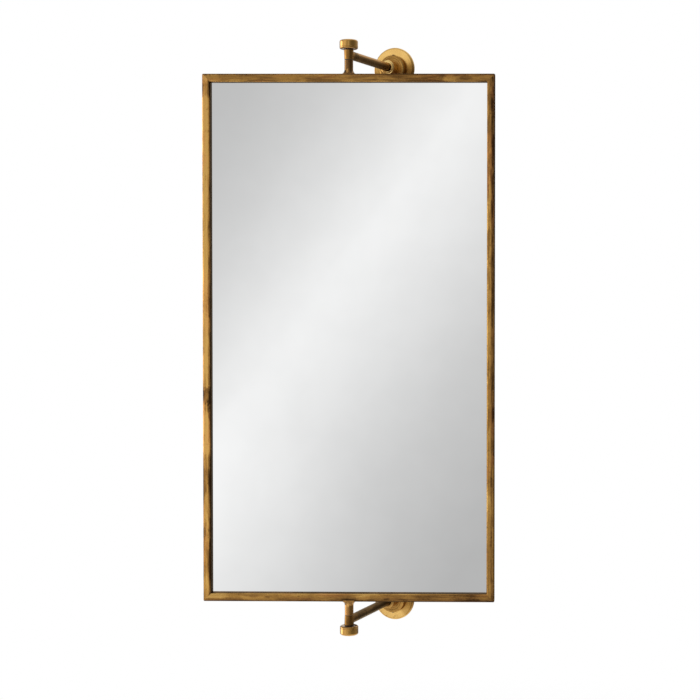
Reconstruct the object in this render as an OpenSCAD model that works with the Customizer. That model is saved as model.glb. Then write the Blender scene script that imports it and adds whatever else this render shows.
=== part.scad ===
// Pivot wall mirror: a framed mirror that turns on two upright pins, held off the wall by two arms.
// Millimetres. Z is up, Y points into the wall and the wall's face is the plane y = 0.
// The origin lies on the wall, midway between the two wall plates.

/* [Mirror frame] */
// Width over the outside of the frame
frame_w = 506; // [380:1:640]
// Height over the outside of the frame
frame_h = 914; // [600:1:1200]
// Width of the frame bar seen from the front
face_w = 14; // [11:0.5:18]
// Depth of the frame bar, front to back
frame_d = 16; // [15:0.5:24]
// Radius along the front edges of the bar
edge_r = 2.5; // [0.5:0.25:3]
// Radius along the outer rear edge of the bar
rear_edge_r = 0.8; // [0.3:0.1:1.5]
// Rounding of the frame's outer corners seen from the front
corner_r = 3; // [0.5:0.5:5]
// Thickness of the outer leg that stands round the glass
leg_t = 5.5; // [5:0.5:7]

/* [Glass and back] */
// Thickness of the silvered glass
glass_t = 3; // [3:0.5:4]
// Thickness of the backing board
board_t = 3; // [2:0.5:4]
// Gap between the edge of the glass and the leg
glass_gap = 1.5; // [1:0.25:2.5]
// Length of a setting block under the glass
block_l = 40; // [20:1:60]
// Thickness of a retaining clip
clip_t = 1; // [0.8:0.1:1.5]
// Width of a retaining clip
clip_w = 12; // [10:1:16]
// Length of a retaining clip, from the leg over the board
clip_l = 17; // [15:1:24]
// Thread diameter of a clip screw
clip_screw_d = 3; // [2.5:0.5:3]
// Thread length of a clip screw in the leg
clip_screw_l = 5; // [4:0.5:6]
// Head diameter of a clip screw
clip_head_d = 5.2; // [4:0.2:7]
// Head height of a clip screw
clip_head_h = 1.6; // [1.2:0.1:2.2]

/* [Pivot posts] */
// Diameter of the post between the frame and the sleeve
post_d = 15; // [12:0.5:18]
// Height of the post from the frame to its shoulder
post_l = 24; // [18:0.5:40]
// How far the foot of the post spreads on each side
foot_spread = 5; // [2:0.1:6]
// Height of the spread foot
foot_h = 7.5; // [4:0.5:10]
// Diameter of the pin that turns in the bushing
pin_d = 9; // [7:0.5:12]
// Step from the pin down to its threaded end
thread_step = 0.5; // [0.5:0.25:1.5]
// Length of thread inside the knob
thread_l = 10.5; // [8:0.5:12.5]
// Diameter of the spigot screwed into the rail
spigot_d = 5; // [4:0.5:8]

/* [Pivot sleeves] */
// How far the sleeve runs past the arm, above and below it
sleeve_past_arm = 1; // [0.5:0.25:6]
// Wall of the sleeve at the post
sleeve_wall = 1.35; // [1:0.05:4]
// Widening of the sleeve's radius from the post to the knob
sleeve_flare = 0.7; // [0:0.1:3]
// Wall of the bushing
bushing_wall = 1.2; // [0.8:0.1:2]
// Thickness of the washers at both ends of a sleeve
washer_t = 0.8; // [0.5:0.1:1.5]
// Distance from the pin's axis to the joint between sleeve and arm
neck_l = 22; // [20:0.5:50]
// Diameter of the arm's front spigot
tenon_d = 8; // [6:0.5:10]
// Length of the arm's front spigot
tenon_l = 12; // [6:0.5:15]

/* [Knobs] */
// Knob diameter
knob_d = 32; // [24:0.5:40]
// Knob height
knob_h = 16; // [13:0.5:22]
// Rounding at the outer end of the knob
knob_crown_r = 3.5; // [1:0.5:4]
// Rounding at the inner end of the knob
knob_heel_r = 3; // [0.5:0.5:3]
// Distance of the turned line from the inner end
knob_line = 3.6; // [3:0.1:6]

/* [Arms] */
// Distance from the wall to the pin's axis
arm_reach = 200; // [120:1:300]
// Diameter of the arm
arm_d = 15; // [12:0.5:18]
// Diameter of the arm's rear thread
stud_d = 10; // [8:1:12]

/* [Wall fixings] */
// Diameter of the rosette on the wall
rosette_d = 79; // [66:1:110]
// Thickness of the rosette
rosette_t = 6; // [5:0.5:8]
// Width of the rosette's rim round the hidden plate
rim_w = 6.5; // [3:0.5:10]
// Diameter of the hub on the rosette
hub_d = 48.8; // [42:0.2:60]
// Height of the hub in front of the rosette
hub_h = 11; // [9:0.5:16]
// Wall of the hub round the plate's boss
hub_wall = 7.4; // [5:0.2:9]
// Diameter of the collar round the arm
collar_d = 26; // [22:0.5:34]
// Length of the collar
collar_l = 21; // [12:0.5:30]
// Thickness of the plate behind the rosette
plate_t = 4; // [3:0.5:4.5]
// Diameter of the screw holes
hole_d = 5.2; // [4:0.1:6.4]
// Thread diameter of the grub screw in the hub
grub_d = 4; // [3:0.5:5]
// How far the grub screw stands out of the hub
grub_out = 1.6; // [0:0.1:3]

/* [Position] */
// Turn of the mirror from parallel with the wall: its right edge goes back
rest_turn = 19; // [-45:0.5:45]

/* [Fits] */
// Radial clearance of the pin in its bushing and of the thread in its knob
run_fit = 0.05; // [0.02:0.01:0.1]
// Radial clearance between pieces that are screwed, pressed or pushed together
close_fit = 0.02; // [0.01:0.01:0.05]
// Radial clearance of covers that slip over their core
slip_fit = 0.1; // [0.05:0.05:0.3]

/* [Hidden] */
$fn = 64;
eps = 0.5; // overshoot of cutting shapes

// Frame bar and what stands in its rebate
glass_front = frame_d - glass_t - board_t;   // glass face behind the front of the frame
glass_w = frame_w - 2 * (leg_t + glass_gap);
glass_h = frame_h - 2 * (leg_t + glass_gap);
board_gap = 1;
board_w = frame_w - 2 * (leg_t + board_gap);
board_h = frame_h - 2 * (leg_t + board_gap);
clip_inset = 0.5;                            // clip's end behind the bar's outer edge
clip_screw_at = leg_t / 2;                   // screw's distance from the bar's outer edge
clips_per_stile = 3;
clips_per_rail = 2;
clip_slot_w = 0.8;
blocks = 2;
block_t = glass_gap - slip_fit;

// Pin and sleeve
spigot_over_glass = 1;                       // the spigot ends this far above the glass
spigot_l = leg_t + glass_gap - spigot_over_glass;
thread_d = pin_d - 2 * thread_step;
bushing_r = pin_d / 2 + run_fit + bushing_wall;
sleeve_small_r = max(bushing_r + sleeve_wall, arm_d / 2 + slip_fit);
sleeve_large_r = sleeve_small_r + sleeve_flare;
sleeve_l = arm_d + 2 * sleeve_past_arm;
sleeve_chamfer = 0.4;
knob_hole_l = thread_l + 1;
knob_line_w = 0.8;
knob_line_deep = 0.4;

// Heights above the edge of the frame, along the pin's axis
sleeve_at = post_l + washer_t;
knob_washer_at = sleeve_at + sleeve_l;
knob_at = knob_washer_at + washer_t;
arm_at = frame_h / 2 + sleeve_at + sleeve_l / 2;

// Wall fixing: its lengths are distances in front of the wall
seat_groove = 0.6;                           // shadow line where hub and collar sit down
hub_face = rosette_t + hub_h;
grub_at = rosette_t + seat_groove + grub_d / 2;
boss_end = grub_at + grub_d / 2 + 2 * slip_fit;
boss_d = hub_d - 2 * hub_wall;
plate_d = rosette_d - 2 * rim_w;
hole_spacing = (plate_d + boss_d) / 2;       // each hole midway between the boss and the plate's rim
csk_l = 2;                                   // depth of the countersink in the plate
grub_socket_af = grub_d / 2;                 // hexagon socket, across flats
grub_socket_l = 2;
rim_r = 2.5;                                 // rounding of the rosette's rim
hub_r = 3;                                   // rounding of the hub's front edge
collar_r = 3.5;                              // rounding of the collar's nose
collar_mouth_w = 1.0;                        // recess round the arm in the collar's nose
collar_mouth_l = 2.5;
arm_chamfer = 0.5;

// ---- placing ----

// Puts a shape drawn at the mirror's own centre line at the pin's axis, turned to its rest position
module on_mirror() {
  translate([0, -arm_reach, 0]) rotate([0, 0, rest_turn]) children();
}

// Puts a shape drawn upwards from the frame's top edge on the upper pin's axis
module above_frame() {
  on_mirror() translate([0, 0, frame_h / 2]) children();
}

// Puts a shape drawn along +Z at the upper arm's foot on the wall, pointing into the room
module from_wall() {
  translate([0, 0, arm_at]) rotate([90, 0, 0]) children();
}

// The lower fittings are the upper ones upside down
module lower() {
  mirror([0, 0, 1]) children();
}

// ---- outlines ----

// A bar's section: x runs from the outer edge inwards, y from the front to the back
module bar_section() {
  difference() {
    union() {
      translate([0, edge_r]) square([leg_t, frame_d - edge_r - rear_edge_r]);
      translate([rear_edge_r, edge_r]) square([leg_t - rear_edge_r, frame_d - edge_r]);
      translate([edge_r, 0]) square([face_w - 2 * edge_r, glass_front]);
      translate([0, edge_r]) square([face_w, glass_front - edge_r]);
      for (x = [edge_r, face_w - edge_r]) translate([x, edge_r]) circle(r = edge_r);
      translate([rear_edge_r, frame_d - rear_edge_r]) circle(r = rear_edge_r);
    }
    translate([leg_t, glass_front]) square([face_w, frame_d]);
  }
}

// Outline of a turned piece of radius r from z0 to z1 with rounded outer edges
module turned_outline(r, z0, z1, low_r, high_r) {
  translate([0, z0]) square([r - low_r, low_r + eps]);
  translate([0, z0 + low_r]) square([r, z1 - z0 - low_r - high_r]);
  translate([0, z1 - high_r - eps]) square([r - high_r, high_r + eps]);
  if (low_r > 0) translate([r - low_r, z0 + low_r]) circle(r = low_r);
  translate([r - high_r, z1 - high_r]) circle(r = high_r);
}

module turned(r, z0, z1, low_r, high_r) {
  rotate_extrude() intersection() {
    turned_outline(r, z0, z1, low_r, high_r);
    translate([0, z0]) square([r, z1 - z0]);
  }
}

// ---- frame ----

// Solids of the bars before their ends are cut: stile along Z, rail along X
module stile_bar() {
  translate([-frame_w / 2, -frame_d / 2, -frame_h / 2]) linear_extrude(frame_h) bar_section();
}

module rail_bar() {
  translate([-frame_w / 2, -frame_d / 2, frame_h / 2]) rotate([0, 90, 0])
    linear_extrude(frame_w) bar_section();
}

// Outline of the whole frame with its rounded corners
module frame_outline() {
  square([frame_w - 2 * corner_r, frame_h], center = true);
  square([frame_w, frame_h - 2 * corner_r], center = true);
  for (x = [-1, 1], z = [-1, 1])
    translate([x * (frame_w / 2 - corner_r), z * (frame_h / 2 - corner_r)]) circle(r = corner_r);
}

// Prisms that keep each bar's part of the mitred corners
module mitre_prism(points) {
  translate([0, frame_d / 2 + eps, 0]) rotate([90, 0, 0])
    linear_extrude(frame_d + 2 * eps) intersection() {
      polygon(points);
      frame_outline();
    }
}

function corner(side, up, inset) = [side * (frame_w / 2 - inset), up * (frame_h / 2 - inset)];

module clip_screw_hole() {
  translate([0, 0, -clip_screw_l - eps]) cylinder(d = clip_screw_d + 2 * close_fit, h = clip_screw_l + 2 * eps);
}

// Clip stations on the left stile and on the top rail: +Z points out of the back of the frame
// and +X points inwards, from the bar's outer edge over the board
module stile_clips() {
  for (i = [0 : clips_per_stile - 1])
    translate([-frame_w / 2, frame_d / 2, glass_h * ((i + 0.5) / clips_per_stile - 0.5)])
      rotate([-90, 0, 0]) children();
}

module rail_clips() {
  for (i = [0 : clips_per_rail - 1])
    translate([glass_w * ((i + 0.5) / clips_per_rail - 0.5), frame_d / 2, frame_h / 2])
      rotate([-90, 90, 0]) children();
}

module left_bar() {
  difference() {
    intersection() {
      stile_bar();
      mitre_prism([corner(-1, 1, 0), corner(-1, 1, face_w), corner(-1, -1, face_w), corner(-1, -1, 0)]);
    }
    stile_clips() translate([clip_screw_at, 0, 0]) clip_screw_hole();
  }
}

module top_bar() {
  difference() {
    intersection() {
      rail_bar();
      mitre_prism([corner(-1, 1, 0), corner(1, 1, 0), corner(1, 1, face_w), corner(-1, 1, face_w)]);
    }
    rail_clips() translate([clip_screw_at, 0, 0]) clip_screw_hole();
    translate([0, 0, frame_h / 2 - spigot_l - close_fit])
      cylinder(d = spigot_d + 2 * close_fit, h = spigot_l + eps);
  }
}

module left_stile() {
  color("darkgoldenrod") on_mirror() left_bar();
}

module right_stile() {
  color("darkgoldenrod") on_mirror() mirror([1, 0, 0]) left_bar();
}

module top_rail() {
  color("goldenrod") on_mirror() top_bar();
}

module bottom_rail() {
  color("goldenrod") on_mirror() lower() top_bar();
}

// ---- glass and back ----

module sheet(w, h, t, front) {
  translate([-w / 2, front - frame_d / 2, -h / 2]) cube([w, t, h]);
}

module mirror_glass() {
  color("lightsteelblue") on_mirror() sheet(glass_w, glass_h, glass_t, glass_front);
}

module backing_board() {
  color("saddlebrown") on_mirror() sheet(board_w, board_h, board_t, glass_front + glass_t);
}

module setting_blocks() {
  color("dimgray") on_mirror() for (i = [0 : blocks - 1])
    translate([glass_w * ((i + 0.5) / blocks - 0.5) - block_l / 2, glass_front - frame_d / 2, -glass_h / 2 - block_t])
      cube([block_l, glass_t, block_t]);
}

module clip() {
  difference() {
    union() {
      translate([clip_inset, -clip_w / 2, 0]) cube([clip_l - clip_w / 2 - clip_inset, clip_w, clip_t]);
      translate([clip_l - clip_w / 2, 0, 0]) cylinder(d = clip_w, h = clip_t);
    }
    translate([clip_screw_at, 0, -eps]) cylinder(d = clip_screw_d + 2 * slip_fit, h = clip_t + 2 * eps);
  }
}

module clip_screw() {
  translate([clip_screw_at, 0, 0]) difference() {
    union() {
      translate([0, 0, -clip_screw_l]) cylinder(d = clip_screw_d, h = clip_screw_l + clip_t + eps);
      translate([0, 0, clip_t]) cylinder(d = clip_head_d, h = clip_head_h);
    }
    translate([-clip_head_d, -clip_slot_w / 2, clip_t + clip_head_h / 2]) cube([2 * clip_head_d, clip_slot_w, clip_head_h]);
  }
}

// Every clip station round the frame
module all_clips() {
  for (side = [0, 1]) mirror([side, 0, 0]) stile_clips() children();
  for (side = [0, 1]) mirror([0, 0, side]) rail_clips() children();
}

module retaining_clips() {
  color("silver") on_mirror() all_clips() clip();
}

module clip_screws() {
  color("gray") on_mirror() all_clips() clip_screw();
}

// ---- pivot ----

// Foot of a post: a cove round the shaft, cut flush with the front and back of the rail
// and filled down to the rail's rounded edges
module foot() {
  cove_r = (foot_spread * foot_spread + foot_h * foot_h) / (2 * foot_spread);
  foot_r = post_d / 2 + foot_spread;
  difference() {
    intersection() {
      union() {
        rotate_extrude() difference() {
          square([foot_r, foot_h]);
          translate([post_d / 2 + cove_r, foot_h]) circle(r = cove_r);
        }
        translate([0, 0, -edge_r]) cylinder(r = foot_r, h = edge_r);
      }
      translate([-foot_r, -frame_d / 2, -edge_r]) cube([2 * foot_r, frame_d, foot_h + edge_r]);
    }
    translate([0, 0, -frame_h / 2]) rail_bar();
  }
}

module post() {
  foot();
  translate([0, 0, -spigot_l]) cylinder(d = spigot_d, h = spigot_l + eps);
  cylinder(d = post_d, h = post_l);
  translate([0, 0, post_l - eps]) cylinder(d = pin_d, h = knob_at - post_l + eps);
  translate([0, 0, knob_at - eps]) cylinder(d = thread_d - 2 * run_fit, h = thread_l + eps);
}

module upper_post() {
  color("peru") above_frame() post();
}

module lower_post() {
  color("peru") lower() above_frame() post();
}

module washer(z, r) {
  translate([0, 0, z]) difference() {
    cylinder(r = r, h = washer_t);
    translate([0, 0, -eps]) cylinder(d = pin_d + 2 * slip_fit, h = washer_t + 2 * eps);
  }
}

module thrust_washers() {
  color("ivory") {
    above_frame() washer(post_l, sleeve_small_r - sleeve_chamfer);
    lower() above_frame() washer(post_l, sleeve_small_r - sleeve_chamfer);
  }
}

module upper_knob_washer() {
  color("ivory") above_frame() washer(knob_washer_at, sleeve_large_r - sleeve_chamfer);
}

module lower_knob_washer() {
  color("ivory") lower() above_frame() washer(knob_washer_at, sleeve_large_r - sleeve_chamfer);
}

// Sleeve with a side neck towards the wall: the arm's front spigot goes into the neck
module sleeve() {
  difference() {
    union() {
      rotate_extrude() polygon([
        [0, 0], [sleeve_small_r - sleeve_chamfer, 0], [sleeve_small_r, sleeve_chamfer],
        [sleeve_large_r, sleeve_l - sleeve_chamfer], [sleeve_large_r - sleeve_chamfer, sleeve_l], [0, sleeve_l]
      ]);
      translate([0, 0, sleeve_l / 2]) rotate([-90, 0, 0]) cylinder(d = arm_d, h = neck_l);
    }
    translate([0, 0, -eps]) cylinder(r = bushing_r + close_fit, h = sleeve_l + 2 * eps);
    translate([0, neck_l - tenon_l - close_fit, sleeve_l / 2]) rotate([-90, 0, 0])
      cylinder(d = tenon_d + 2 * close_fit, h = tenon_l + eps);
  }
}

module bushing() {
  difference() {
    cylinder(r = bushing_r, h = sleeve_l);
    translate([0, 0, -eps]) cylinder(d = pin_d + 2 * run_fit, h = sleeve_l + 2 * eps);
  }
}

// Sleeve and bushing belong to the arm, so they don't turn with the mirror
module at_sleeve() {
  translate([0, -arm_reach, frame_h / 2 + sleeve_at]) children();
}

module upper_sleeve() {
  color("sienna") at_sleeve() sleeve();
}

module lower_sleeve() {
  color("sienna") lower() at_sleeve() sleeve();
}

module upper_bushing() {
  color("white") at_sleeve() bushing();
}

module lower_bushing() {
  color("white") lower() at_sleeve() bushing();
}

module knob() {
  translate([0, 0, knob_at]) difference() {
    turned(knob_d / 2, 0, knob_h, knob_heel_r, knob_crown_r);
    translate([0, 0, -eps]) cylinder(d = thread_d, h = knob_hole_l + eps);
    translate([0, 0, knob_line]) difference() {
      cylinder(d = knob_d + 2 * eps, h = knob_line_w);
      translate([0, 0, -eps]) cylinder(d = knob_d - 2 * knob_line_deep, h = knob_line_w + 2 * eps);
    }
  }
}

module upper_knob() {
  color("gold") above_frame() knob();
}

module lower_knob() {
  color("gold") lower() above_frame() knob();
}

// ---- arms and wall fixings ----

module arm() {
  rod_end = arm_reach - neck_l;
  cylinder_len = rod_end - hub_face;
  translate([0, 0, hub_face]) cylinder(d = arm_d, h = cylinder_len - arm_chamfer);
  translate([0, 0, rod_end - arm_chamfer])
    cylinder(d1 = arm_d, d2 = arm_d - 2 * arm_chamfer, h = arm_chamfer);
  translate([0, 0, boss_end + slip_fit]) cylinder(d = stud_d, h = hub_face - boss_end);
  translate([0, 0, rod_end - eps]) cylinder(d = tenon_d, h = tenon_l + eps);
}

module upper_arm() {
  color("saddlebrown") from_wall() arm();
}

module lower_arm() {
  color("saddlebrown") lower() from_wall() arm();
}

module collar() {
  translate([0, 0, hub_face]) difference() {
    union() {
      turned(collar_d / 2, seat_groove, collar_l, 0, collar_r);
      cylinder(d = collar_d - 2 * seat_groove, h = seat_groove + eps);
    }
    translate([0, 0, -eps]) cylinder(d = arm_d + 2 * slip_fit, h = collar_l + 2 * eps);
    translate([0, 0, collar_l - collar_mouth_l])
      cylinder(d = arm_d + 2 * collar_mouth_w, h = collar_mouth_l + eps);
  }
}

module upper_collar() {
  color("burlywood") from_wall() collar();
}

module lower_collar() {
  color("burlywood") lower() from_wall() collar();
}

module hub() {
  difference() {
    union() {
      turned(hub_d / 2, rosette_t + seat_groove, hub_face, 0, hub_r);
      translate([0, 0, rosette_t]) cylinder(d = hub_d - 2 * seat_groove, h = seat_groove + eps);
    }
    cylinder(d = boss_d + 2 * slip_fit, h = boss_end + slip_fit);
    cylinder(d = stud_d + 2 * close_fit, h = hub_face + eps);
    translate([0, 0, grub_at]) rotate([-90, 0, 0]) cylinder(d = grub_d + 2 * close_fit, h = hub_d);
  }
}

module upper_hub() {
  color("darkgoldenrod") from_wall() hub();
}

module lower_hub() {
  color("darkgoldenrod") lower() from_wall() hub();
}

// Grub screw in the hub's rim, on the side away from the mirror
module grub_screw() {
  outer_end = hub_d / 2 + grub_out;
  translate([0, 0, grub_at]) rotate([-90, 0, 0]) difference() {
    translate([0, 0, boss_d / 2]) cylinder(d = grub_d, h = outer_end - boss_d / 2);
    translate([0, 0, outer_end - grub_socket_l])
      cylinder(d = grub_socket_af / cos(30), h = grub_socket_l + eps, $fn = 6);
  }
}

module grub_screws() {
  color("dimgray") {
    from_wall() grub_screw();
    lower() from_wall() grub_screw();
  }
}

module rosette() {
  difference() {
    turned(rosette_d / 2, 0, rosette_t, 0, rim_r);
    translate([0, 0, -eps]) cylinder(d = plate_d + 4 * slip_fit, h = plate_t + eps);
    translate([0, 0, -eps]) cylinder(d = boss_d + 4 * slip_fit, h = rosette_t + 2 * eps);
  }
}

module upper_rosette() {
  color("goldenrod") from_wall() rosette();
}

module lower_rosette() {
  color("goldenrod") lower() from_wall() rosette();
}

module wall_plate() {
  difference() {
    union() {
      cylinder(d = plate_d, h = plate_t);
      cylinder(d = boss_d, h = boss_end);
    }
    for (side = [-1, 1]) translate([side * hole_spacing / 2, 0, 0]) {
      translate([0, 0, -eps]) cylinder(d = hole_d, h = plate_t + 2 * eps);
      translate([0, 0, plate_t - csk_l]) cylinder(d1 = hole_d, d2 = hole_d + 2 * csk_l, h = csk_l);
    }
  }
}

module upper_wall_plate() {
  color("slategray") from_wall() wall_plate();
}

module lower_wall_plate() {
  color("slategray") lower() from_wall() wall_plate();
}

upper_wall_plate();
lower_wall_plate();
upper_rosette();
lower_rosette();
upper_hub();
lower_hub();
grub_screws();
upper_collar();
lower_collar();
upper_arm();
lower_arm();
upper_sleeve();
lower_sleeve();
upper_bushing();
lower_bushing();
left_stile();
right_stile();
top_rail();
bottom_rail();
mirror_glass();
backing_board();
setting_blocks();
retaining_clips();
clip_screws();
upper_post();
lower_post();
thrust_washers();
upper_knob();
lower_knob();
upper_knob_washer();
lower_knob_washer();
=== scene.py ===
"""Pivot wall mirror in aged brass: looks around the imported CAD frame. Metres, same frame as the CAD."""

import math

import bmesh
import bpy
from mathutils import Matrix, Vector


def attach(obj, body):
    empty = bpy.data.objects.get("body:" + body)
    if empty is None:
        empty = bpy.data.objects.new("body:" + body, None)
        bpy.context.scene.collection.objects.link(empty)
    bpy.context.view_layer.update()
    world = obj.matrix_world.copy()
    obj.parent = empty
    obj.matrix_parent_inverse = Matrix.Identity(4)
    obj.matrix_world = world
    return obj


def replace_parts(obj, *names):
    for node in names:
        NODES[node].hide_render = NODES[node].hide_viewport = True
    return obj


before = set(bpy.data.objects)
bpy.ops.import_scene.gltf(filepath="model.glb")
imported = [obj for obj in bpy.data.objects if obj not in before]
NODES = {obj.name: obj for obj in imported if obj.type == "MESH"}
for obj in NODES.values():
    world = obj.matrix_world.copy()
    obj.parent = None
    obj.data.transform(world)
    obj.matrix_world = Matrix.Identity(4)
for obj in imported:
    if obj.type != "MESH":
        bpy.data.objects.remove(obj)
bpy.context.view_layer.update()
SCENE = bpy.context.scene
MM = 0.001

# The pivot axis, the mirror's turn at rest and the height of the arms' axes, as in the CAD
PIVOT_Y = -0.2
PIVOT = Vector((0, PIVOT_Y, 0))
REST_TURN = math.radians(19)
MIRROR_RIGHT = Vector((math.cos(REST_TURN), math.sin(REST_TURN), 0))
MIRROR_FRONT = Vector((math.sin(REST_TURN), -math.cos(REST_TURN), 0))   # out of the glass, into the room
ARM_Z = 0.4903

# Camera: its focal length is in pixels of a picture that is PICTURE_PX wide
CAMERA_AT = Vector((1.134, -2.621, 0.104))
CAMERA_YAW, CAMERA_PITCH, CAMERA_ROLL = math.radians(-19.84), math.radians(-1.35), math.radians(0.088)
CAMERA_FOCAL_PX, PICTURE_PX, SENSOR_MM = 1536.5, 700.0, 36.0
CAMERA_SHIFT_X, CAMERA_SHIFT_Y = -0.2005, -0.05
CAMERA_REACH = 50

# Patterns in the metal and in the board, in metres, and what all the brass has in common
TURNING_PITCH = 0.0021
SCREEN_PITCH = 0.0022
ALONG_GRAIN = 0.03        # share of the run along a brushed piece, so that the noise stretches along it
ROUND_TURNING = 0.0006    # metres to a radian, so that the noise stretches round a turned piece
BRASS_TINT = (1.0, 0.86, 0.68, 1.0)
# Rounded edges are paler: partly wear, partly a painted highlight along them.
EDGE_WEAR_AND_SHEEN = 0.1           # how much paler a rounded edge is


# ---------------------------------------------------------------- small helpers

def linear(r, g, b):
    """A colour written as 0-255 screen values, as linear light."""
    return tuple((c / 255 / 12.92) if c <= 10.3 else ((c / 255 + 0.055) / 1.055) ** 2.4 for c in (r, g, b)) + (1.0,)


class Tree:
    """Short calls for building a node tree. A value is a number, a tuple or another node's output."""

    def __init__(self, tree):
        self.tree = tree
        tree.nodes.clear()

    def link(self, value, socket):
        if isinstance(value, bpy.types.NodeSocket):
            self.tree.links.new(value, socket)
        elif value is not None:
            socket.default_value = value

    def node(self, kind, inputs=None, **settings):
        made = self.tree.nodes.new(kind)
        for key, value in settings.items():
            setattr(made, key, value)
        for key, value in (inputs or {}).items():
            self.link(value, made.inputs[key])
        return made

    def math(self, operation, a, b=0.5, clamp=False):
        made = self.node("ShaderNodeMath", {0: a, 1: b}, operation=operation, use_clamp=clamp)
        return made.outputs[0]

    def times(self, a, b):
        return self.math("MULTIPLY", a, b)

    def add(self, first, *others, clamp=False):
        """The sum, taken left to right; clamp holds its last step to 0..1."""
        for count, other in enumerate(others, 1):
            first = self.math("ADD", first, other, clamp and count == len(others))
        return first

    def vector(self, operation, a, b=(0, 0, 0)):
        made = self.node("ShaderNodeVectorMath", {0: a, 1: b}, operation=operation)
        return made.outputs["Value" if operation in ("DOT_PRODUCT", "LENGTH") else "Vector"]

    def separate(self, vector):
        return self.node("ShaderNodeSeparateXYZ", {0: vector}).outputs

    def combine(self, x, y, z):
        return self.node("ShaderNodeCombineXYZ", {0: x, 1: y, 2: z}).outputs[0]

    def span(self, value, low, high, to_low=0.0, to_high=1.0, smooth=True):
        """Value from low..high to to_low..to_high, held at both ends."""
        made = self.node("ShaderNodeMapRange", {0: value, 1: low, 2: high, 3: to_low, 4: to_high},
                         interpolation_type="SMOOTHSTEP" if smooth else "LINEAR")
        return made.outputs[0]

    def noise(self, vector, scale, detail=3.0, rough=0.55, twist=0.0):
        return self.node("ShaderNodeTexNoise", {"Vector": vector, "Scale": scale, "Detail": detail,
                                                "Roughness": rough, "Distortion": twist}).outputs[0]

    def mix(self, factor, a, b, blend="MIX"):
        made = self.tree.nodes.new("ShaderNodeMix")
        made.data_type = "RGBA"
        made.blend_type = blend
        made.clamp_factor = True
        for value, index in ((factor, 0), (a, 6), (b, 7)):
            self.link(value, made.inputs[index])
        return made.outputs[2]

    def ramp(self, value, stops, mode="LINEAR"):
        made = self.node("ShaderNodeValToRGB", {0: value})
        ramp = made.color_ramp
        ramp.interpolation = mode
        while len(ramp.elements) < len(stops):
            ramp.elements.new(0.5)
        for element, (place, colour) in zip(ramp.elements, stops):
            element.position = place
            element.color = colour
        return made.outputs[0]

    def hollow(self, distance, samples):
        """0 deep in a corner, 1 in the open."""
        return self.node("ShaderNodeAmbientOcclusion", {"Distance": distance}, samples=samples).outputs["AO"]

    def softened(self, radius):
        """The normal with its edges rounded over for the light."""
        return self.node("ShaderNodeBevel", {"Radius": radius}, samples=4).outputs[0]

    def bump(self, strength, distance, height, normal=None):
        return self.node("ShaderNodeBump", {"Strength": strength, "Distance": distance, "Height": height,
                                            "Normal": normal}).outputs[0]

    def principled(self, inputs):
        """A principled shader as the material's surface."""
        shader = self.node("ShaderNodeBsdfPrincipled", inputs)
        self.node("ShaderNodeOutputMaterial", {0: shader.outputs[0]})


def grey(value):
    return (value, value, value, 1.0)


def new_material(name):
    material = bpy.data.materials.new(name)
    material.use_nodes = True
    return material, Tree(material.node_tree)


# ---------------------------------------------------------------- brass

def body_coordinates(t, turned):
    """Place and normal in the CAD frame, in metres; for the mirror's body turned so that X runs along its width."""
    texture = t.node("ShaderNodeTexCoord")
    place, normal = texture.outputs["Object"], texture.outputs["Normal"]
    place = t.vector("SUBTRACT", place, tuple(PIVOT))
    if turned:
        place, normal = (
            t.node("ShaderNodeVectorRotate", {"Vector": v, "Angle": -REST_TURN}, rotation_type="Z_AXIS").outputs[0]
            for v in (place, normal))
    return place, normal


def round_mask(t, normal, axis):
    """1 where a surface rounds over between its main directions, 0 on its flats."""
    x, y, z = t.separate(normal)
    x, y, z = (t.math("ABSOLUTE", c) for c in (x, y, z))
    if axis is None:
        most = t.math("MAXIMUM", t.math("MAXIMUM", x, y), z)
    else:
        along = {"Y": y, "Z": z}[axis]
        across = t.math("SQRT", t.math("SUBTRACT", 1.0, t.times(along, along), clamp=True))
        most = t.math("MAXIMUM", along, across)
    return t.span(t.math("SUBTRACT", 1.0, most), 0.015, 0.2)


def grain_coordinates(t, place, grain):
    """Coordinates stretched along the direction in which a piece was brushed (X, Y, Z) or turned."""
    x, y, z = t.separate(place)
    if grain in ("X", "Y", "Z"):
        return t.combine(*(t.times(c, ALONG_GRAIN) if grain == letter else c for letter, c in zip("XYZ", (x, y, z))))
    if grain == "turned_z":
        across, along = y, z
    else:   # turned about an arm's axis
        across, along = t.math("SUBTRACT", t.math("ABSOLUTE", z), ARM_Z), y
    angle = t.math("ARCTAN2", across, x)
    return t.combine(t.times(angle, ROUND_TURNING), t.vector("LENGTH", t.combine(x, across, 0.0)), along)


def outward(t, place, normal, along):
    """How far a surface of a frame bar faces away from the mirror's middle: 1 outwards, -1 inwards."""
    across = 0 if along == "Z" else 2
    side, part = t.separate(place)[across], t.separate(normal)[across]
    return t.times(t.math("SIGN", side), part)


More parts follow.
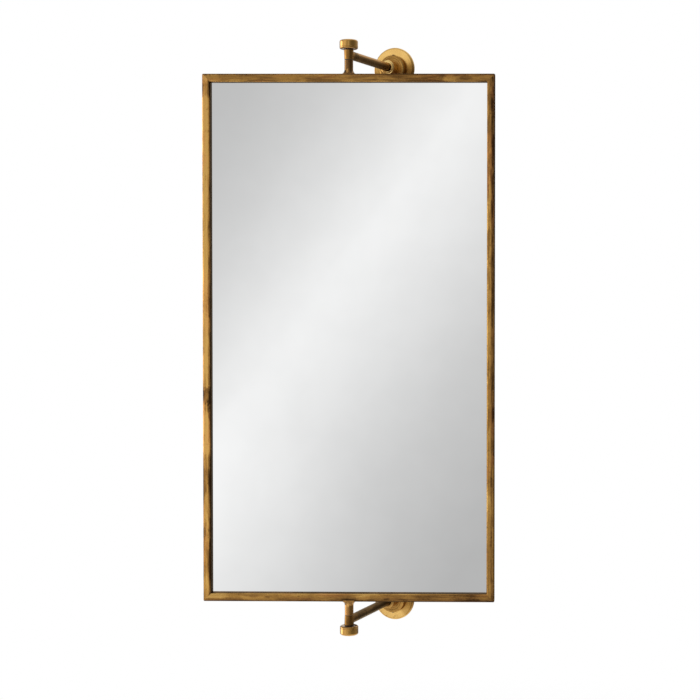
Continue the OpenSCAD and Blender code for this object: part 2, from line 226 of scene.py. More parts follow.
def brass(name, tones, *, grain, patch, seed, patina, mottle, turned=False, drift=0.4, spots=0.35, rough=(0.26, 0.46),
          rings=0.0, ring_lines=(), copper=0.0, axis=None, streaks=1.0, painted_corner_shade=0.55, coat=0.0, bar=None, marks=(),
          fades=()):
    """Aged brass in four tones, dark to light. patina moves the balance between light (0) and dark (1).
    turned: for the mirror's body, with coordinates along its width.
    grain: the way a piece was brushed or turned. patch: stretch of the patches. seed: moves the pattern.
    drift, mottle, streaks: strength of the broad, the patchy and the brushed variation.
    spots, copper, painted_corner_shade: strength of the dark specks, the rosy areas and the painted shade in the
    corners.
    axis: of a round piece, for its paler rounded edges, worn and with a painted highlight. rough: roughness, light to
    dark.
    rings: depth of the turning rings. ring_lines: fine dark lines round the arm's axis as (radius, shift).
    coat: weight of a thin clear lacquer.
    bar: run of a frame bar, and the shifts of tone on its outer edge, outer side, inner edge and inner side, which
    paint light and shade on it.
    marks: patches as (x, y, z, size x, size y, size z, shift), metres from the pivot's middle.
    fades: (x, y, z, start, end, shift), z counted both ways from the middle except on a bar."""
    material, t = new_material(name)
    place, normal = body_coordinates(t, turned)
    shifted = t.vector("ADD", place, (seed * 0.731, seed * 0.413, seed * 0.297))
    stretched = t.vector("MULTIPLY", shifted, patch)
    grained = grain_coordinates(t, shifted, grain)

    large = t.noise(stretched, 30, detail=3, rough=0.55, twist=0.4)
    middle = t.noise(stretched, 110, detail=4, rough=0.62, twist=0.3)
    small = t.noise(shifted, 420, detail=3, rough=0.6)
    lines = t.noise(grained, 2600, detail=2, rough=0.5)
    broad_lines = t.noise(grained, 620, detail=2, rough=0.5)
    tone = t.add(
        t.span(large, 0.34, 0.66, -0.3 * drift, 0.3 * drift), patina,
        t.span(middle, 0.4, 0.6, -0.17 * mottle, 0.17 * mottle),
        t.span(small, 0.3, 0.7, -0.09 * mottle, 0.09 * mottle, smooth=False),
        t.span(broad_lines, 0.36, 0.64, -0.12 * streaks, 0.12 * streaks),
        t.span(lines, 0.3, 0.7, -0.07 * streaks, 0.07 * streaks, smooth=False))

    uneven = t.span(t.noise(stretched, 140, detail=3), 0.36, 0.6)
    # Paler rounded edges: wear, and a painted highlight along them.
    tone = t.math("SUBTRACT", tone, t.times(round_mask(t, normal, axis), t.times(uneven, EDGE_WEAR_AND_SHEEN)))

    # Painted light and shade on a frame bar by the way each face turns: one shift each for the outer edge, the outer
    # side, the inner edge and the inner side next to the glass.
    if bar:
        along, outer_edge, outer_side, inner_edge, inner_side = bar
        out = outward(t, place, normal, along)
        tone = t.add(
            tone,
            t.times(t.span(out, 0.15, 0.6), outer_edge),
            t.times(t.span(out, 0.85, 0.99), outer_side - outer_edge),
            t.times(t.span(out, -0.15, -0.6), inner_edge),
            t.times(t.span(out, -0.85, -0.99), inner_side - inner_edge))

    if marks:
        ragged = t.node("ShaderNodeTexNoise", {"Vector": shifted, "Scale": 260.0, "Detail": 3.0}).outputs["Color"]
        ragged = t.vector("MULTIPLY", t.vector("SUBTRACT", ragged, (0.5, 0.5, 0.5)), (0.9, 0.9, 0.9))
    for *middle_of, size_x, size_y, size_z, shift in marks:
        away = t.vector("DIVIDE", t.vector("SUBTRACT", place, middle_of), (size_x, size_y, size_z))
        tone = t.add(tone, t.span(t.vector("LENGTH", t.vector("ADD", away, ragged)), 0.65, 1.1, shift, 0.0))

    x, y, z = t.separate(place)
    both_ways = t.math("ABSOLUTE", z)
    counted = t.combine(x, y, z if bar else both_ways)
    for *direction, start, end, shift in fades:
        tone = t.add(tone, t.span(t.vector("DOT_PRODUCT", counted, direction), start, end, 0.0, shift))

    from_axis = t.vector("LENGTH", t.combine(x, t.math("SUBTRACT", both_ways, ARM_Z), 0.0))
    for radius, shift in ring_lines:
        off = t.math("ABSOLUTE", t.math("SUBTRACT", from_axis, radius))
        tone = t.add(tone, t.span(off, 0.0003, 0.001, shift, 0.0))

    # Painted shade: the colour goes darker in corners and hollows, where ambient occlusion finds them.
    tone = t.add(tone, t.times(t.span(t.hollow(0.007, 8), 0.75, 0.25), painted_corner_shade), clamp=True)

    dark, brown, mid, light = tones
    colour = t.ramp(tone, [(0.0, light), (0.33, mid), (0.66, brown), (1.0, dark)])
    if copper > 0:
        rosy = t.span(t.noise(stretched, 60, detail=3, twist=0.5), 0.5, 0.62, 0.0, copper)
        colour = t.mix(rosy, colour, t.mix(1.0, colour, (1.1, 0.84, 1.0, 1.0), "MULTIPLY"))
    spotted = t.times(t.span(t.noise(shifted, 190, detail=2, rough=0.45), 0.665, 0.71), spots)
    colour = t.mix(spotted, colour, dark)

    roughness = t.add(
        t.span(tone, 0.1, 0.95, rough[0], rough[1]), t.span(middle, 0.3, 0.7, -0.04, 0.04, smooth=False),
        t.times(spotted, 0.12), clamp=True)

    height = t.add(
        t.times(lines, 0.5 * streaks), t.times(small, 0.6 * mottle),
        t.times(t.noise(shifted, 60, detail=2), 2.2 * mottle))
    height = t.math("SUBTRACT", height, t.times(spotted, 0.5))
    if rings > 0:
        wave = t.math("SINE", t.times(from_axis, 2 * math.pi / TURNING_PITCH))
        height = t.add(height, t.times(wave, 0.5 * rings))
    t.principled({
        "Base Color": colour, "Metallic": 1.0, "Roughness": roughness,
        "Normal": t.bump(0.35, 0.00012, height, t.softened(0.0005)),
        "Specular Tint": BRASS_TINT, "Coat Weight": coat, "Coat Roughness": 0.1})
    return material


# Tones of the metal, as the surface itself and not as the light makes it
BLACKISH = linear(44, 31, 17)
UMBER = linear(66, 44, 23)
DEEP_BROWN = linear(98, 69, 36)
BROWN = linear(146, 106, 57)
OCHRE = linear(190, 143, 74)
GOLD = linear(226, 181, 103)
PALE_GOLD = linear(242, 207, 134)
DARK_BRONZE = linear(74, 53, 30)


# ---------------------------------------------------------------- other materials

def silvered_glass():
    """Silvered glass with the faintest haze."""
    material, t = new_material("silvered_glass")
    haze = t.noise(body_coordinates(t, True)[0], 14, detail=2)
    t.principled({
        "Base Color": t.mix(t.span(haze, 0.3, 0.7), (0.925, 0.93, 0.93, 1), (0.945, 0.95, 0.95, 1)),
        "Metallic": 1.0, "Roughness": t.span(haze, 0.3, 0.7, 0.0, 0.012)})
    return material


def glass_edge():
    """The ground and polished edge of the glass, pale green."""
    material, t = new_material("glass_edge")
    place = body_coordinates(t, True)[0]
    ripple = t.noise(t.vector("MULTIPLY", place, (1, 0.2, 1)), 700, detail=3)
    t.principled({
        "Base Color": t.mix(ripple, linear(118, 150, 136), linear(150, 178, 164)),
        "Roughness": t.span(ripple, 0.3, 0.7, 0.12, 0.3), "Normal": t.bump(0.2, 0.0001, ripple)})
    return material


def backing_paint():
    """The grey paint that covers the silver on the back of the glass."""
    material, t = new_material("backing_paint")
    mottle = t.noise(body_coordinates(t, True)[0], 180, detail=4)
    t.principled({
        "Base Color": t.mix(mottle, linear(92, 96, 98), linear(124, 128, 128)),
        "Roughness": t.span(mottle, 0.3, 0.7, 0.5, 0.7), "Normal": t.bump(0.3, 0.00008, mottle)})
    return material


def hardboard():
    """Brown hardboard: pressed fibres, and the print of a wire screen on the outside."""
    material, t = new_material("hardboard")
    place = body_coordinates(t, True)[0]
    x, _, z = t.separate(place)
    fibres = t.noise(t.vector("MULTIPLY", place, (1.0, 1.0, 0.3)), 900, detail=4, rough=0.65, twist=1.2)
    clumps = t.noise(place, 60, detail=4, rough=0.6)
    stains = t.noise(place, 7, detail=3, rough=0.5)
    waves = 2 * math.pi / SCREEN_PITCH
    screen = t.times(t.math("SINE", t.times(t.add(x, z), waves)),
                     t.math("SINE", t.times(t.math("SUBTRACT", x, z), waves)))
    tone = t.add(t.times(fibres, 0.45), t.times(clumps, 0.35), t.times(stains, 0.3), t.times(screen, 0.05))
    t.principled({
        "Base Color": t.ramp(tone, [(0.3, linear(70, 46, 28)), (0.52, linear(104, 72, 45)),
                                    (0.75, linear(139, 102, 68))]),
        "Roughness": t.span(fibres, 0.3, 0.7, 0.62, 0.85),
        "Normal": t.bump(0.5, 0.00025, t.add(t.times(screen, 0.6), fibres))})
    return material


def steel(name, pale, dull, rough):
    """Plated or blackened steel with handling marks."""
    material, t = new_material(name)
    place, normal = body_coordinates(t, True)
    bloom = t.noise(place, 130, detail=4, rough=0.6)
    fine = t.noise(place, 1500, detail=2)
    scratches = t.noise(t.vector("MULTIPLY", place, (1, 1, 0.04)), 2400, detail=2)
    tone = t.add(t.times(bloom, 0.7), t.times(scratches, 0.3))
    # Painted shade: darker in corners and hollows.
    tone = t.math("SUBTRACT", tone, t.span(t.hollow(0.003, 4), 0.2, 0.8, 0.2, 0.0))
    tone = t.add(tone, t.times(round_mask(t, normal, None), 0.2), clamp=True)
    height = t.add(fine, t.times(scratches, 0.8))
    t.principled({
        "Base Color": t.ramp(tone, [(0.25, dull), (0.7, pale)]), "Metallic": 1.0,
        "Roughness": t.span(bloom, 0.3, 0.7, rough[0], rough[1]),
        "Normal": t.bump(0.3, 0.00006, height, t.softened(0.0003))})
    return material


def plastic(name, pale, dull, rough, turned):
    """Nylon or rubber: slight mottling and a fine moulded grain."""
    material, t = new_material(name)
    place = body_coordinates(t, turned)[0]
    cloud = t.noise(place, 160, detail=3)
    grain = t.noise(place, 2200, detail=3)
    t.principled({
        # The colour goes darker in corners and hollows: painted shade.
        "Base Color": t.mix(t.times(cloud, t.hollow(0.002, 4)), dull, pale),
        "Roughness": t.span(cloud, 0.3, 0.7, rough[0], rough[1]), "Normal": t.bump(0.25, 0.00005, grain)})
    return material


# ---------------------------------------------------------------- meshes

def piece_from(bm, name, materials, smooth_angle=35):
    """An object from a bmesh, smooth but for edges sharper than smooth_angle degrees."""
    bmesh.ops.recalc_face_normals(bm, faces=bm.faces)
    mesh = bpy.data.meshes.new(name)
    bm.to_mesh(mesh)
    bm.free()
    for polygon in mesh.polygons:
        polygon.use_smooth = True
    mesh.set_sharp_from_angle(angle=math.radians(smooth_angle))
    obj = bpy.data.objects.new(name, mesh)
    SCENE.collection.objects.link(obj)
    for material in materials:
        mesh.materials.append(material)
    return obj


def arc(centre, radius, start, end, steps):
    """Points of an arc in a profile, angles in degrees."""
    return [(centre[0] + radius * math.cos(math.radians(start + (end - start) * i / steps)),
             centre[1] + radius * math.sin(math.radians(start + (end - start) * i / steps)))
            for i in range(steps + 1)]


def revolved(profile, place, segments=128):
    """A closed solid from an (r, h) profile in mm that starts and ends on the axis; place maps it to metres."""
    bm = bmesh.new()
    rings = []
    for radius, height in profile:
        turns = [2 * math.pi * i / segments for i in range(segments if radius > 0 else 1)]
        rings.append([bm.verts.new(place @ Vector((radius * MM * math.cos(turn), radius * MM * math.sin(turn),
                                                   height * MM))) for turn in turns])
    for low, high in zip(rings, rings[1:]):
        for i in range(segments):
            j = (i + 1) % segments
            corners = [low[0]] if len(low) == 1 else [low[i], low[j]]
            corners += [high[0]] if len(high) == 1 else [high[j], high[i]]
            bm.faces.new(corners)
    return bm


def ring(radius, step, face, cut):
    """Profile points of a fine V ring in an end face. step is half its width, signed the way the profile runs."""
    return [(radius - step, face), (radius, face + cut), (radius + step, face)]


def knob(name, side, material):
    """Drum knob turned on a lathe: rounded crown and heel, a groove near the heel, faint rings on its ends. In mm."""
    radius, height, crown, heel = 16.0, 16.0, 3.5, 3.0
    bore, bore_depth, bore_edge = 4.0, 11.5, 0.5
    groove = ((3.48, 0.0), (3.6, 0.1), (3.74, 0.42), (4.1, 0.42), (4.26, 0.1), (4.38, 0.0))   # (height, depth)
    heel_at = 499.6   # from the mirror's middle
    profile = [(0, bore_depth), (bore, bore_depth), (bore, bore_edge), (bore + bore_edge, 0.0)]
    profile += ring(9.5, 0.3, 0.0, 0.18)
    profile += arc((radius - heel, heel), heel, -90, 0, 10)
    profile += [(radius - depth, at) for at, depth in groove]
    profile += arc((radius - crown, height - crown), crown, 0, 90, 12)
    profile += ring(9.2, -0.2, height, -0.12) + ring(5.0, -0.2, height, -0.1) + [(0, height)]
    place = Matrix.Translation(PIVOT) @ Matrix.Diagonal((1, 1, side, 1)) @ Matrix.Translation((0, 0, heel_at * MM))
    obj = piece_from(revolved(profile, place), name, [material])
    return obj


def turned_between(a, b, share):
    """A vector turned from a towards b by a share of the angle between them."""
    gap = a.angle(b)
    if gap < 1e-4:
        return a.lerp(b, share)
    return (a * math.sin((1 - share) * gap) + b * math.sin(share * gap)) / math.sin(gap)


def braze(name, side, material):
    """The fillet of braze where an arm's neck meets its sleeve: a ball rolled round the joint of the two cylinders.
    In mm, with the sleeve's axis at 0. The fillet's radius varies a little, as hand work does."""
    neck, sleeve, sleeve_half = 7.5, 7.96, 8.3
    fillet, (broad_wave, broad_count), (short_wave, short_count) = 1.7, (0.35, 3), (0.2, 7)
    sunk, end_gap = 0.35, 0.15
    around, across = 96, 8
    limit = sleeve_half - end_gap
    bm = bmesh.new()
    rows = []
    for i in range(around):
        turn = 2 * math.pi * i / around
        way = Vector((math.cos(turn), 0, math.sin(turn)))
        ball = (fillet + broad_wave * math.sin(broad_count * turn + side)
                + short_wave * math.sin(short_count * turn + 2 * side))
        cx, cz = (neck + ball) * math.cos(turn), (neck + ball) * math.sin(turn)
        cy = math.sqrt((sleeve + ball) ** 2 - cx ** 2)
        shrink = sleeve / (sleeve + ball)
        centre = Vector((cx, cy, cz))
        to_neck = Vector((neck * math.cos(turn), cy, neck * math.sin(turn))) - centre
        to_sleeve = Vector((cx * shrink, cy * shrink, cz)) - centre
        points = [centre + turned_between(to_neck, to_sleeve, k / across) for k in range(across + 1)]
        root_y = math.sqrt(sleeve ** 2 - (neck * math.cos(turn)) ** 2)
        root = Vector((neck * math.cos(turn), root_y, neck * math.sin(turn)))
        into_sleeve = Vector((points[-1].x, points[-1].y, 0)).normalized() * sunk
        points = [points[0] - way * sunk, *points, points[-1] - into_sleeve, root - way * sunk]
        row = []
        for p in points:
            z = max(-limit, min(limit, p.z))
            row.append(bm.verts.new(Vector((p.x * MM, PIVOT_Y + p.y * MM, side * (ARM_Z + z * MM)))))
        rows.append(row)
    for here, there in zip(rows, rows[1:] + rows[:1]):
        for k in range(len(here)):
            m = (k + 1) % len(here)
            bm.faces.new([here[k], here[m], there[m], there[k]])
    obj = piece_from(bm, name, [material], smooth_angle=50)
    return obj


def mirror_pane(front, edge, back):
    """The glass with its arrises taken off: silvered front, pale green edge, grey paint on the back."""
    width, height, thick, arris, behind_pivot = 0.492, 0.900, 0.003, 0.0006, 0.0035
    facing = 0.9   # least part of a face's normal along the glass's own, for its front and its back
    bm = bmesh.new()
    turn = Matrix.Translation(PIVOT) @ Matrix.Rotation(REST_TURN, 4, "Z")
    bmesh.ops.create_cube(bm, size=1.0)
    bmesh.ops.scale(bm, vec=(width, thick, height), verts=bm.verts)
    bmesh.ops.translate(bm, vec=(0, behind_pivot, 0), verts=bm.verts)
    bmesh.ops.bevel(bm, geom=list(bm.edges), offset=arris, segments=1, affect="EDGES", profile=0.5)
    bm.normal_update()
    for face in bm.faces:
        face.material_index = 0 if face.normal.y < -facing else 2 if face.normal.y > facing else 1
    bmesh.ops.transform(bm, matrix=turn, verts=bm.verts)
    obj = piece_from(bm, "mirror_pane", [front, edge, back], smooth_angle=20)
    return obj


# ---------------------------------------------------------------- finishes of the pieces

# The frame bars' bar settings paint light and shade on their edges and sides by the way each turns, darkest on the
# inner sides next to the glass.
frame_tones = (UMBER, BROWN, OCHRE, GOLD)
pivot_tones = (BLACKISH, linear(116, 81, 40), linear(166, 121, 62), linear(208, 160, 90))

# Left stile: the second fade paints shade on its inner side towards the glass; its bar darkens its outer edge and side
# as painted shade.
stile_left = brass(
    "brass_left_stile", (UMBER, BROWN, linear(206, 153, 79), linear(236, 186, 102)), turned=True, grain="Z",
    patch=(1, 1, 0.16), seed=1.0, patina=0.03, drift=0.3, mottle=1.1, copper=0.35, streaks=0.8,
    bar=("Z", 0.5, 0.5, 0.3, 0.95), marks=(
        (-0.246, 0, 0.358, 0.006, 0.02, 0.004, 0.22),
        (-0.246, 0, 0.43, 0.02, 0.02, 0.018, 0.36),
        (-0.245, 0, 0.34, 0.02, 0.02, 0.07, -0.12),
        (-0.245, 0, 0.13, 0.02, 0.02, 0.08, -0.2),
        (-0.245, 0, 0.01, 0.02, 0.02, 0.035, -0.14),
        (-0.245, 0, -0.1, 0.016, 0.02, 0.018, 0.42),
        (-0.246, 0, -0.118, 0.006, 0.02, 0.016, 0.25),
        (-0.245, 0, -0.218, 0.014, 0.02, 0.012, -0.12),
        (-0.245, 0, -0.188, 0.01, 0.02, 0.02, -0.26)),
    fades=((0, 0, -1, 0.195, 0.24, 0.26), (1, 0, 0, -0.2453, -0.2415, 0.6)))
# Right stile: the second fade paints shade on its outer side, which turns away from the light.
stile_right = brass(
    "brass_right_stile", frame_tones, turned=True, grain="Z", patch=(1, 1, 0.16), seed=2.0, patina=0.33, drift=0.2,
    mottle=0.9, copper=0.5, streaks=0.6, bar=("Z", 0.15, 0.1, 0.05, 0.8), marks=(
        (0.246, 0, -0.045, 0.006, 0.02, 0.012, 0.06),
        (0.245, 0, -0.104, 0.02, 0.02, 0.02, -0.18),
        (0.245, 0, -0.218, 0.02, 0.02, 0.03, -0.18),
        (0.245, 0, -0.31, 0.02, 0.02, 0.06, -0.18)),
    fades=((0, 0, 1, 0.28, 0.37, 0.14), (1, 0, 0, 0.2446, 0.248, 0.45)))
rail_top = brass(
    "brass_top_rail", frame_tones, turned=True, grain="X", patch=(0.16, 1, 1), seed=3.0, patina=0.55, drift=0.2,
    mottle=0.8, copper=0.4, streaks=0.5, bar=("X", 0.45, 0.3, 0.0, 0.8), marks=(
        (-0.215, 0, 0.449, 0.045, 0.02, 0.012, -0.24),
        (-0.238, 0, 0.449, 0.02, 0.02, 0.012, -0.15),
        (-0.168, 0, 0.449, 0.016, 0.02, 0.004, -0.16),
        (-0.06, 0, 0.450, 0.016, 0.02, 0.004, 0.12),
        (0.175, 0, 0.449, 0.014, 0.02, 0.01, -0.2),
        (0.202, 0, 0.45, 0.014, 0.02, 0.006, 0.2)),
    fades=((1, 0, 0, 0.03, 0.09, 0.1),))
# Bottom rail: its bar paints a highlight on its inner edge, and the second fade paints shade along its lower edge.
rail_bottom = brass(
    "brass_bottom_rail", frame_tones, turned=True, grain="X", patch=(0.16, 1, 1), seed=4.0, patina=0.43, drift=0.2,
    mottle=0.8, copper=0.4, streaks=0.5, bar=("X", 0.5, 0.4, -0.2, 0.5), marks=(
        (-0.235, 0, -0.449, 0.03, 0.02, 0.012, -0.15),
        (-0.142, 0, -0.450, 0.006, 0.02, 0.003, 0.16),
        (0.0, 0, -0.452, 0.016, 0.02, 0.006, 0.14),
        (0.025, 0, -0.449, 0.014, 0.02, 0.006, -0.2),
        (0.066, 0, -0.452, 0.006, 0.02, 0.003, 0.2),
        (0.204, 0, -0.45, 0.03, 0.02, 0.012, 0.2)),
    fades=((1, 0, 0, 0.07, 0.12, 0.14), (0, 0, -1, 0.449, 0.457, 0.35)))
# Knobs: the fade paints shade on each knob towards its heel, next to the sleeve.
knob_brass = brass(
    "brass_knobs", (UMBER, linear(140, 98, 38), linear(190, 140, 54), linear(224, 174, 82)), turned=True,
    grain="turned_z", patch=(1, 1, 1), seed=5.0, patina=0.33, drift=0.1, mottle=0.06, rough=(0.22, 0.3),
    axis="Z", streaks=0.1, spots=0.0, painted_corner_shade=0.15, coat=1.0, fades=((0, 0, 1, 0.503, 0.4996, 0.3),))
# Posts: at each foot the marks paint a highlight down its front and shade in the hollows beside it; the first mark
# makes the lower post paler.
post_brass = brass(
    "brass_posts", pivot_tones, turned=True, grain="Z", patch=(1, 1, 0.3), seed=6.0, patina=0.62, mottle=0.35,
    copper=0.2, axis="Z", rough=(0.22, 0.36), streaks=0.5, spots=0.1, painted_corner_shade=0.6, coat=0.3, marks=(
        (0, 0, -0.47, 0.03, 0.03, 0.03, -0.2),
        (-0.0012, -0.008, 0.462, 0.0022, 0.01, 0.0045, -0.45),
        (-0.0012, -0.008, -0.462, 0.0022, 0.01, 0.0045, -0.35),
        (-0.0065, -0.006, 0.4605, 0.0022, 0.01, 0.003, 0.4),
        (-0.0065, -0.006, -0.4605, 0.0022, 0.01, 0.003, 0.4),
        (0.0045, -0.006, 0.4605, 0.0022, 0.01, 0.003, 0.3),
        (0.0045, -0.006, -0.4605, 0.0022, 0.01, 0.003, 0.3)))
sleeve_brass = brass(
    "brass_sleeves", pivot_tones, grain="Z", patch=(1, 1, 0.3), seed=7.0, patina=0.6, mottle=0.35,
    copper=0.2, axis="Z", rough=(0.22, 0.36), streaks=0.5, spots=0.1, painted_corner_shade=0.6, fades=((0, 1, 0, 0.006, 0.011, 0.28),))
arm_tones = (BLACKISH, DARK_BRONZE, linear(110, 79, 43), linear(172, 130, 78))
# Upper arm: the first fade paints a highlight along its top, the second paints shade at its end inside the collar.
arm_upper = brass(
    "brass_upper_arm", arm_tones, grain="Y", patch=(1, 0.3, 1), seed=8.0, patina=0.34, mottle=0.35, copper=0.3,
    rough=(0.26, 0.4), streaks=0.4, marks=((0, 0.0245, ARM_Z, 0.03, 0.0015, 0.03, 0.4),),
    fades=((0, 0, 1, 0.4916, 0.4942, -0.6), (0, 1, 0, 0.155, 0.162, 0.35)))
# Lower arm: the fade paints shade at its end inside the collar.
arm_lower = brass(
    "brass_lower_arm", arm_tones, grain="Y", patch=(1, 0.3, 1), seed=13.0, patina=0.73, mottle=0.35, copper=0.5,
    rough=(0.26, 0.4), streaks=0.4, marks=(
        (0, 0.0305, -ARM_Z, 0.03, 0.0016, 0.03, 0.45),
        (0, 0.057, -ARM_Z, 0.03, 0.0016, 0.03, 0.45)),
    fades=((0, 1, 0, 0.155, 0.162, 0.3),))
braze_brass = brass(
    "brass_braze", frame_tones, grain="Y", patch=(1, 1, 1), seed=9.0, patina=0.45, mottle=0.4, copper=0.4,
    rough=(0.24, 0.4))
# Rosettes: the first two marks and both fades paint shade: over the whole lower rosette, beside the lower hub, towards
# the mirror's frame and towards the right.
rosette_brass = brass(
    "brass_rosettes", (DEEP_BROWN, linear(166, 124, 62), linear(214, 172, 100), linear(236, 194, 118)),
    grain="turned_y", patch=(1, 1, 1), seed=10.0, patina=0.12, drift=0.3, mottle=0.1, axis="Y", rough=(0.24, 0.36),
    rings=0.05, streaks=0.15, ring_lines=((0.0372, 0.2),), marks=(
        (0, 0.2, -ARM_Z, 0.08, 0.08, 0.08, 0.15),
        (0.026, 0.194, -0.507, 0.014, 0.02, 0.014, 0.2),
        (-0.012, 0.19, 0.512, 0.012, 0.02, 0.006, 0.12)),
    fades=((0, 0, 1, 0.515, 0.483, 0.5), (1, 0, 0, 0.022, 0.042, 0.15)))
hub_brass = brass(
    "brass_hubs", (UMBER, linear(144, 106, 54), linear(184, 140, 74), linear(222, 180, 106)), grain="turned_y",
    patch=(1, 1, 1), seed=11.0, patina=0.52, drift=0.2, mottle=0.12, axis="Y", rings=0.1, streaks=0.15, spots=0.1,
    painted_corner_shade=0.05, ring_lines=((0.0155, 0.15), (0.0192, 0.2)),
    fades=((0.8, 0, -0.6, -0.304, -0.278, -0.15),))
# Collars: the marks paint shade over the lower collar and on the upper collar beside the arm.
collar_brass = brass(
    "brass_collars", (UMBER, linear(150, 112, 60), linear(194, 150, 84), PALE_GOLD), grain="turned_y",
    patch=(1, 1, 1), seed=12.0, patina=0.1, drift=0.15, mottle=0.1, axis="Y", streaks=0.1, spots=0.05,
    painted_corner_shade=0.05, marks=(
        (0, 0.17, -ARM_Z, 0.05, 0.05, 0.05, 0.45),
        (-0.008, 0.168, 0.482, 0.009, 0.02, 0.012, 0.4)))
board = hardboard()
zinc = steel("zinc_plate", linear(205, 204, 198), linear(140, 138, 132), (0.28, 0.44))
black_steel = steel("black_steel", linear(92, 88, 82), linear(40, 38, 36), (0.32, 0.5))
nylon = plastic("black_nylon", linear(54, 49, 44), linear(28, 25, 22), (0.4, 0.55), turned=False)
rubber = plastic("black_rubber", linear(44, 43, 42), linear(22, 22, 22), (0.6, 0.8), turned=True)

FINISHES = {
    "left_stile": stile_left, "right_stile": stile_right, "top_rail": rail_top, "bottom_rail": rail_bottom,
    "upper_post": post_brass, "lower_post": post_brass, "upper_sleeve": sleeve_brass, "lower_sleeve": sleeve_brass,
    "upper_arm": arm_upper, "lower_arm": arm_lower, "upper_rosette": rosette_brass, "lower_rosette": rosette_brass,
    "upper_hub": hub_brass, "lower_hub": hub_brass, "upper_collar": collar_brass, "lower_collar": collar_brass,
    "upper_knob": knob_brass, "lower_knob": knob_brass, "mirror_glass": silvered_glass(),
    "backing_board": board, "retaining_clips": zinc, "clip_screws": black_steel, "grub_screws": black_steel,
    "upper_wall_plate": zinc, "lower_wall_plate": zinc, "upper_bushing": nylon, "lower_bushing": nylon,
    "thrust_washers": nylon, "upper_knob_washer": nylon, "lower_knob_washer": nylon, "setting_blocks": rubber,
}
for node, material in FINISHES.items():
    NODES[node].material_slots[0].material = material

for side, word in ((1, "upper"), (-1, "lower")):
    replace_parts(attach(knob(word + "_turned_knob", side, knob_brass), word + "_knob"), word + "_knob")
    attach(braze(word + "_braze", side, braze_brass), "wall_side")
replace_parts(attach(mirror_pane(FINISHES["mirror_glass"], glass_edge(), backing_paint()), "mirror"), "mirror_glass")


# ---------------------------------------------------------------- studio

# The studio as the metal reflects it: an even level, and soft patches on it as
# (degrees to the right of the camera's side, height angle, inner and outer angle from the middle, strength)
STUDIO_LEVEL = 0.33
STUDIO_PATCHES = (
    (-103, -2, 15, 29, 2.6), (-66, 0, 8, 56, 0.42), (-40, 0, 8, 44, 0.4), (-30, 72, 10, 58, 0.38),
    (56, 0, 10, 45, -0.15), (165, 38, 10, 60, 0.6), (150, -12, 10, 50, -0.12), (0, -90, 10, 70, -0.06))

# What the glass reflects on the camera's side: a pale slanting band along a great circle, as (distance from the
# circle, brightness in the glass), with the way across it in shares of the mirror's right, of up and of its front
BAND_ACROSS = (1227.1, -915.0, 129.7)
BAND_REACH = 0.3
BAND = (
    (-0.24, 0.47), (-0.132, 0.505), (-0.081, 0.62), (-0.043, 0.76), (-0.016, 0.86), (-0.004, 0.885), (0.018, 0.83),
    (0.05, 0.74), (0.0885, 0.61), (0.134, 0.515), (0.167, 0.462), (0.27, 0.42))
GLASS_REFLECTS = 0.93
BAND_VIEW = (-7, -2, 14, 32)         # where the band shows: degrees to the right, height angle, inner and outer angle
GLOW_WAY = (-0.21, -0.21, 1.0)       # a faint glow low on the left, in the same shares as BAND_ACROSS
GLOW_CONE = (2, 8, 0.06)             # its inner and outer angle and its strength
DIFFUSE_LEVEL = 0.55                 # the world's plain light on surfaces without gloss

# Lamps as (name, degrees to the right of the camera's side, height angle, distance, size, watts)
LAMPS = (
    ("key_light", -60, 38, 2.6, 1.8, 32), ("fill_light", 55, 25, 2.8, 2.0, 14), ("back_light", 175, 45, 2.6, 2.0, 14))
LIT_POINT = Vector((0, -0.15, 0))

FLOOR_Z, FLOOR_STEP, FLOOR_RINGS, FLOOR_SEGMENTS = -1.25, 0.5, 5, 96
FLOOR_FADE_FROM, FLOOR_FADE_TO = 1.3, 2.4
FLOOR_TONES = (0.74, 0.78)
FLOOR_LIFT = 0.38                    # light of its own, so that it isn't much darker than the backdrop


def add_camera():
    """The photograph's camera. Returns its right and the way back from the object to it."""
    data = bpy.data.cameras.new("camera")
    camera = bpy.data.objects.new("camera", data)
    SCENE.collection.objects.link(camera)
    forward = Vector((math.sin(CAMERA_YAW) * math.cos(CAMERA_PITCH), math.cos(CAMERA_YAW) * math.cos(CAMERA_PITCH),
                      math.sin(CAMERA_PITCH)))
    right = Vector((math.cos(CAMERA_YAW), -math.sin(CAMERA_YAW), 0))
    up = right.cross(forward)
    right, up = (right * math.cos(CAMERA_ROLL) + up * math.sin(CAMERA_ROLL),
                 up * math.cos(CAMERA_ROLL) - right * math.sin(CAMERA_ROLL))
    camera.matrix_world = Matrix.Translation(CAMERA_AT) @ Matrix((right, up, -forward)).transposed().to_4x4()
    data.sensor_width = SENSOR_MM
    data.lens = CAMERA_FOCAL_PX / PICTURE_PX * SENSOR_MM
    data.shift_x, data.shift_y = CAMERA_SHIFT_X, CAMERA_SHIFT_Y
    data.clip_end = CAMERA_REACH
    SCENE.camera = camera
    return right, -forward


def compass(right, back, degrees, up):
    """A direction by its angle to the right of the way back to the camera, seen from above, and its height angle."""
    flat_right, flat_back = Vector((right.x, right.y, 0)).normalized(), Vector((back.x, back.y, 0)).normalized()
    a, e = math.radians(degrees), math.radians(up)
    return (flat_back * math.cos(a) + flat_right * math.sin(a)) * math.cos(e) + Vector((0, 0, math.sin(e)))


def mirror_way(right, up, front):
    """A direction from its shares of the mirror's right, of up and of the mirror's front."""
    return (MIRROR_RIGHT * right + Vector((0, 0, up)) + MIRROR_FRONT * front).normalized()


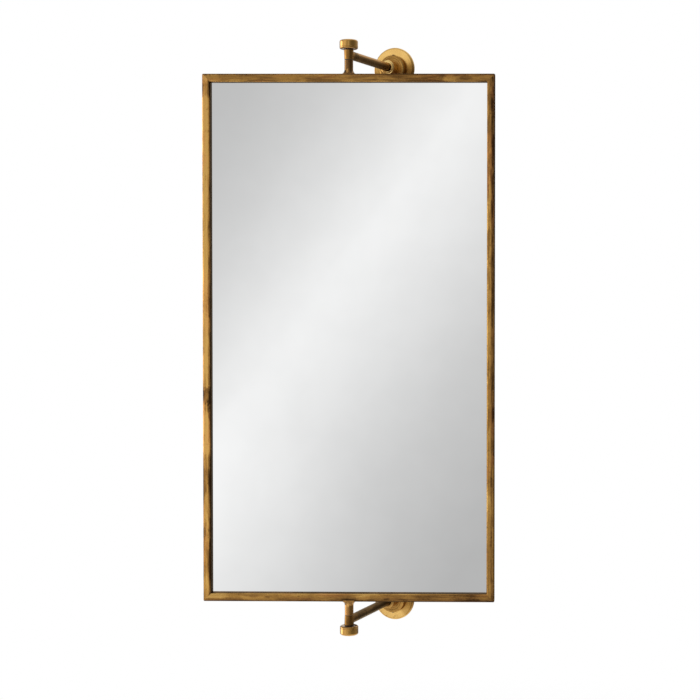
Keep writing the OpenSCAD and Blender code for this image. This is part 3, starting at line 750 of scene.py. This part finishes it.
def soft_world(right, back):
    """White for the camera, a soft studio with the glass's pale band for gloss, and plain light for the rest."""
    world = bpy.data.worlds.new("studio")
    world.use_nodes = True
    SCENE.world = world
    t = Tree(world.node_tree)
    direction = t.vector("NORMALIZE", t.node("ShaderNodeTexCoord").outputs["Generated"])

    def cone(middle, inner, outer, strength=1.0):
        """strength within inner degrees of the middle, fading to 0 at outer degrees."""
        near = t.vector("DOT_PRODUCT", direction, tuple(middle))
        return t.span(near, math.cos(math.radians(outer)), math.cos(math.radians(inner)), 0.0, strength)

    level = t.add(STUDIO_LEVEL, *(cone(compass(right, back, degrees, up), inner, outer, strength)
                                  for degrees, up, inner, outer, strength in STUDIO_PATCHES))

    distance = t.vector("DOT_PRODUCT", direction, tuple(mirror_way(*BAND_ACROSS)))
    place = t.span(distance, -BAND_REACH, BAND_REACH, smooth=False)
    band = t.ramp(place, [((away + BAND_REACH) / (2 * BAND_REACH), grey(bright / GLASS_REFLECTS))
                          for away, bright in BAND], mode="B_SPLINE")
    glow = cone(mirror_way(*GLOW_WAY), *GLOW_CONE)
    band = t.mix(1.0, band, t.combine(glow, glow, glow), "ADD")
    degrees, up, inner, outer = BAND_VIEW
    window = cone(compass(right, back, degrees, up), inner, outer)
    gloss = t.mix(window, t.combine(level, level, level), band)

    rays = t.node("ShaderNodeLightPath").outputs
    shiny = t.add(rays["Is Glossy Ray"], rays["Is Transmission Ray"], clamp=True)
    colour = t.mix(rays["Is Camera Ray"], t.mix(shiny, grey(DIFFUSE_LEVEL), gloss), grey(1.0))
    t.node("ShaderNodeOutputWorld", {0: t.node("ShaderNodeBackground", {0: colour, 1: 1.0}).outputs[0]})
    world.cycles.sampling_method = "NONE"


def area_light(name, place, size, power):
    """A round lamp that lights the mirror and isn't seen in it."""
    data = bpy.data.lights.new(name, "AREA")
    data.shape, data.size, data.energy = "DISK", size, power
    lamp = bpy.data.objects.new(name, data)
    SCENE.collection.objects.link(lamp)
    lamp.location = place
    lamp.rotation_euler = (LIT_POINT - place).to_track_quat("-Z", "Y").to_euler()
    lamp.visible_glossy = False


def pale_floor():
    """A plain pale floor below the hung mirror, fading to the white backdrop at its rim."""
    bm = bmesh.new()
    turns = [2 * math.pi * i / FLOOR_SEGMENTS for i in range(FLOOR_SEGMENTS)]
    rings = [[bm.verts.new((radius * math.cos(turn), radius * math.sin(turn), FLOOR_Z)) for turn in turns]
             for radius in (FLOOR_STEP * k for k in range(1, FLOOR_RINGS + 1))]
    bm.faces.new(rings[0])
    for inner, outer in zip(rings, rings[1:]):
        for i in range(FLOOR_SEGMENTS):
            j = (i + 1) % FLOOR_SEGMENTS
            bm.faces.new([inner[i], outer[i], outer[j], inner[j]])
    material, t = new_material("pale_floor")
    place = t.node("ShaderNodeTexCoord").outputs["Object"]
    x, y, _ = t.separate(place)
    radius = t.vector("LENGTH", t.combine(x, y, 0.0))
    paint = t.node("ShaderNodeBsdfDiffuse", {0: t.mix(t.noise(place, 3), *(grey(tone) for tone in FLOOR_TONES))})
    rays = t.node("ShaderNodeLightPath").outputs
    shown = t.add(rays["Is Camera Ray"], rays["Is Glossy Ray"], rays["Is Transmission Ray"], clamp=True)
    lift = t.node("ShaderNodeEmission", {0: grey(1.0), 1: t.times(shown, FLOOR_LIFT)})
    lit = t.node("ShaderNodeAddShader", {0: paint.outputs[0], 1: lift.outputs[0]})
    gone = t.node("ShaderNodeBsdfTransparent")
    faded = t.node("ShaderNodeMixShader", {
        0: t.span(radius, FLOOR_FADE_FROM, FLOOR_FADE_TO), 1: lit.outputs[0], 2: gone.outputs[0]})
    t.node("ShaderNodeOutputMaterial", {0: faded.outputs[0]})
    floor = piece_from(bm, "floor", [material])


right, back = add_camera()
soft_world(right, back)
for name, degrees, up, distance, size, power in LAMPS:
    area_light(name, compass(right, back, degrees, up) * distance, size, power)
pale_floor()

SCENE.view_settings.view_transform = "Standard"
